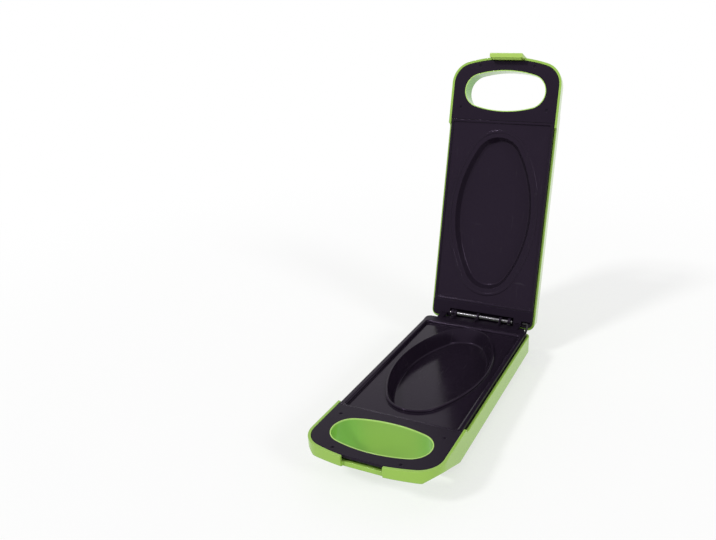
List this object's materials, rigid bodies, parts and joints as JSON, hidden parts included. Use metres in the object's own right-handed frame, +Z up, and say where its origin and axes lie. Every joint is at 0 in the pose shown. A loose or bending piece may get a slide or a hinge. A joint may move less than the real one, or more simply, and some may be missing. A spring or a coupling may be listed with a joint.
{
  "type": "contact grill",
  "caption": "Slim clamshell contact grill with an oval pocket in its hinged plates, a hand hole at the front and a latch on the lid.",
  "frame": {"origin": "middle of the open grill's bounding box, on the surface that its feet stand on", "axes": "+X to the right of a user who faces the hand hole, +Y from the hand hole towards the hinge, +Z up; the lid is stored open"},
  "size_m": [0.134, 0.4252, 0.3495],
  "materials": {
    "casing": "satin green moulding",
    "latch": "satin green moulding",
    "plug": "satin green cap",
    "trim": "satin black moulding",
    "coated_plate": "dark non-stick coating",
    "pin": "plain steel",
    "screw": "zinc plated",
    "heater_tube": "dull steel sheath",
    "strap": "plain steel strip",
    "shield": "bright sheet",
    "thermostat": "pressed steel can",
    "thermal_fuse": "plated can",
    "white_plastic": "heat-proof moulding",
    "rubber": "matt black",
    "wire": "silicone sleeve",
    "lens": "clear red lens",
    "lamp": "neon lamp"
  },
  "bodies": {
    "base": {"base_casing": "casing", "base_bezel": "trim", "base_plate": "coated_plate", "base_hinge_cover": "trim", "hinge_pin": "pin", "base_heater": "heater_tube", "base_heater_straps": "strap", "base_strap_screws": "screw", "base_heat_shield": "shield", "base_shield_screws": "screw", "base_plate_screws": "screw", "base_case_screws": "screw", "thermostat": "thermostat", "thermostat_bracket": "strap", "thermal_fuse": "thermal_fuse", "fuse_bracket": "strap", "sensor_screws": "screw", "terminal_block": "white_plastic", "cord_grommet": "rubber", "cord_clamp": "white_plastic", "cord_clamp_screws": "screw", "base_wires": "wire", "base_lead": "wire", "foot_rear_left": "rubber", "foot_rear_right": "rubber", "foot_front_left": "rubber", "foot_front_right": "rubber"},
    "lid": {"lid_casing": "casing", "lid_bezel": "trim", "lid_plate": "coated_plate", "lid_hinge_cover": "trim", "lid_heater": "heater_tube", "lid_heater_straps": "strap", "lid_strap_screws": "screw", "lid_heat_shield": "shield", "lid_shield_screws": "screw", "lid_plate_screws": "screw", "lid_case_screws": "screw", "indicator_lens": "lens", "lamp_holder": "white_plastic", "indicator_lamp": "lamp", "lid_connector_block": "white_plastic", "lid_wires": "wire", "lid_lead": "wire", "latch_pin": "pin", "lid_plug_rear_left": "plug", "lid_plug_rear_right": "plug", "lid_plug_front_left": "plug", "lid_plug_front_right": "plug"},
    "latch": {"latch": "latch"}
  },
  "joints": [
    {"name": "lid_hinge", "type": "hinge", "parent": "base", "child": "lid", "pos_m": [0, 0.09923, 0.044], "axis": [1, 0, 0], "range_deg": [0, 106]},
    {"name": "latch_hinge", "type": "hinge", "parent": "lid", "child": "latch", "pos_m": [0, 0.20215, 0.33833], "axis": [-1, 0, 0], "range_deg": [-3.2, 32]}
  ]
}
